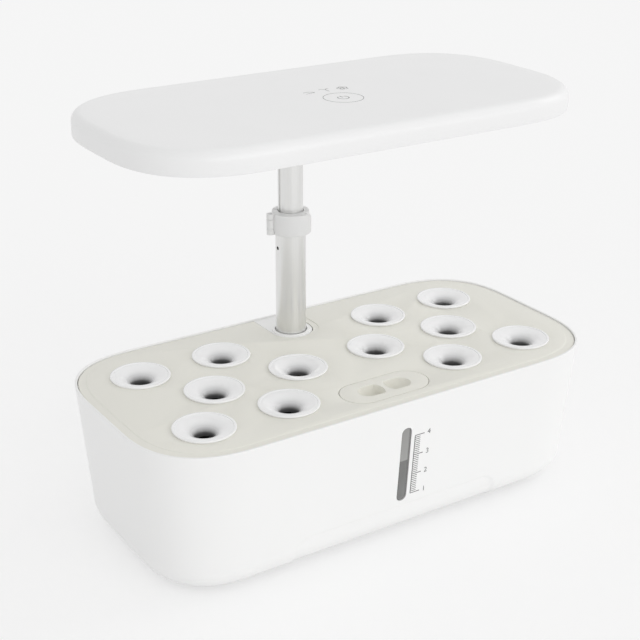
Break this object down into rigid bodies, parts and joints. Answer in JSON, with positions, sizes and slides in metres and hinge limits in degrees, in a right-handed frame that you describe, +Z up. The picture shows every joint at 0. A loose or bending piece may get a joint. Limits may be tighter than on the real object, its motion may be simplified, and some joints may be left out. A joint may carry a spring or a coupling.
{
  "type": "countertop hydroponic garden",
  "caption": "Countertop water-culture planter: moulded water tank, lift-out grow deck with trumpet pods, pump, level window, and a grow lamp on a clamped telescopic post.",
  "frame": {"origin": "on the bench, under the middle of the whole garden's box, 3.95 mm behind the middle of the grow deck", "axes": "+X along the tank to the right of the level window's viewer, +Y to the rear where the post stands, +Z up"},
  "size_m": [0.4042, 0.208, 0.3337],
  "materials": {
    "shell_white": "satin moulded plastic, white",
    "deck_greige": "fine matt moulded plastic, warm grey",
    "cap_greige": "fine matt moulded plastic, warm grey",
    "pod_white": "glossy moulded plastic, white",
    "basket_black": "matt moulded plastic, black",
    "lamp_white": "satin moulded plastic, white",
    "clamp_white": "matt moulded plastic, pale grey white",
    "satin_aluminium": "satin anodised aluminium",
    "screw_steel": "bright steel",
    "smoked_clear": "smoked clear plastic",
    "soft_black": "black rubber",
    "inner_grey": "grey moulded plastic",
    "moulded_black": "black moulded plastic",
    "sponge": "open-cell black foam",
    "rotor_white": "white moulded plastic",
    "pipe_clear": "pale flexible pipe",
    "board_white": "white solder mask",
    "board_green": "green solder mask",
    "led_yellow": "phosphor",
    "diffuser_milk": "milky diffuser sheet"
  },
  "bodies": {
    "base": {"tank": "shell_white", "level_window": "smoked_clear", "window_gasket": "soft_black", "feet": "soft_black", "post_plug": "inner_grey", "post_screw": "screw_steel", "lower_tube": "satin_aluminium", "tube_bush": "inner_grey", "clamp_collar": "clamp_white", "lever_pin": "screw_steel", "power_inlet": "moulded_black", "pump_housing": "moulded_black", "pump_cover": "moulded_black", "pump_filter": "sponge", "pump_feet": "soft_black", "impeller_shaft": "screw_steel", "riser_pipe": "pipe_clear"},
    "clamp_lever": {"clamp_lever": "clamp_white"},
    "impeller": {"impeller": "rotor_white"},
    "deck": {"deck": "deck_greige", "return_nozzle": "deck_greige"},
    "fill_cap": {"fill_cap": "cap_greige"},
    "lamp": {"upper_tube": "satin_aluminium", "tube_glide": "inner_grey", "lamp_hub": "inner_grey", "hub_screws": "screw_steel", "lamp_cover": "lamp_white", "lamp_tray": "lamp_white", "lamp_screws": "screw_steel", "led_board": "board_white", "led_chips": "led_yellow", "diffuser": "diffuser_milk", "touch_board": "board_green"},
    "pod_01": {"pod_cap_01": "pod_white", "pod_basket_01": "basket_black"},
    "pod_02": {"pod_cap_02": "pod_white", "pod_basket_02": "basket_black"},
    "pod_03": {"pod_cap_03": "pod_white", "pod_basket_03": "basket_black"},
    "pod_04": {"pod_cap_04": "pod_white", "pod_basket_04": "basket_black"},
    "pod_05": {"pod_cap_05": "pod_white", "pod_basket_05": "basket_black"},
    "pod_06": {"pod_cap_06": "pod_white", "pod_basket_06": "basket_black"},
    "pod_07": {"pod_cap_07": "pod_white", "pod_basket_07": "basket_black"},
    "pod_08": {"pod_cap_08": "pod_white", "pod_basket_08": "basket_black"},
    "pod_09": {"pod_cap_09": "pod_white", "pod_basket_09": "basket_black"},
    "pod_10": {"pod_cap_10": "pod_white", "pod_basket_10": "basket_black"},
    "pod_11": {"pod_cap_11": "pod_white", "pod_basket_11": "basket_black"},
    "pod_12": {"pod_cap_12": "pod_white", "pod_basket_12": "basket_black"}
  },
  "joints": [
    {"name": "lever_swing", "type": "hinge", "parent": "base", "child": "clamp_lever", "pos_m": [-0.01905, 0.06275, 0.2178], "axis": [0, 0, -1], "range_deg": [0, 100]},
    {"name": "impeller_spin", "type": "hinge", "parent": "base", "child": "impeller", "pos_m": [0, 0.00805, 0.02467], "axis": [1, 0, 0], "continuous": true},
    {"name": "deck_lift", "type": "slide", "parent": "base", "child": "deck", "axis": [0, 0, 1], "range_m": [0, 0.062]},
    {"name": "fill_cap_lift", "type": "slide", "parent": "deck", "child": "fill_cap", "axis": [0, 0, 1], "range_m": [0, 0.03]},
    {"name": "lamp_height", "type": "slide", "parent": "base", "child": "lamp", "axis": [0, 0, 1], "range_m": [-0.07, 0.07]},
    {"name": "pod_lift_01", "type": "slide", "parent": "deck", "child": "pod_01", "axis": [0, 0, 1], "range_m": [0, 0.055]},
    {"name": "pod_lift_02", "type": "slide", "parent": "deck", "child": "pod_02", "axis": [0, 0, 1], "range_m": [0, 0.055]},
    {"name": "pod_lift_03", "type": "slide", "parent": "deck", "child": "pod_03", "axis": [0, 0, 1], "range_m": [0, 0.055]},
    {"name": "pod_lift_04", "type": "slide", "parent": "deck", "child": "pod_04", "axis": [0, 0, 1], "range_m": [0, 0.055]},
    {"name": "pod_lift_05", "type": "slide", "parent": "deck", "child": "pod_05", "axis": [0, 0, 1], "range_m": [0, 0.055]},
    {"name": "pod_lift_06", "type": "slide", "parent": "deck", "child": "pod_06", "axis": [0, 0, 1], "range_m": [0, 0.055]},
    {"name": "pod_lift_07", "type": "slide", "parent": "deck", "child": "pod_07", "axis": [0, 0, 1], "range_m": [0, 0.055]},
    {"name": "pod_lift_08", "type": "slide", "parent": "deck", "child": "pod_08", "axis": [0, 0, 1], "range_m": [0, 0.055]},
    {"name": "pod_lift_09", "type": "slide", "parent": "deck", "child": "pod_09", "axis": [0, 0, 1], "range_m": [0, 0.055]},
    {"name": "pod_lift_10", "type": "slide", "parent": "deck", "child": "pod_10", "axis": [0, 0, 1], "range_m": [0, 0.055]},
    {"name": "pod_lift_11", "type": "slide", "parent": "deck", "child": "pod_11", "axis": [0, 0, 1], "range_m": [0, 0.055]},
    {"name": "pod_lift_12", "type": "slide", "parent": "deck", "child": "pod_12", "axis": [0, 0, 1], "range_m": [0, 0.055]}
  ]
}
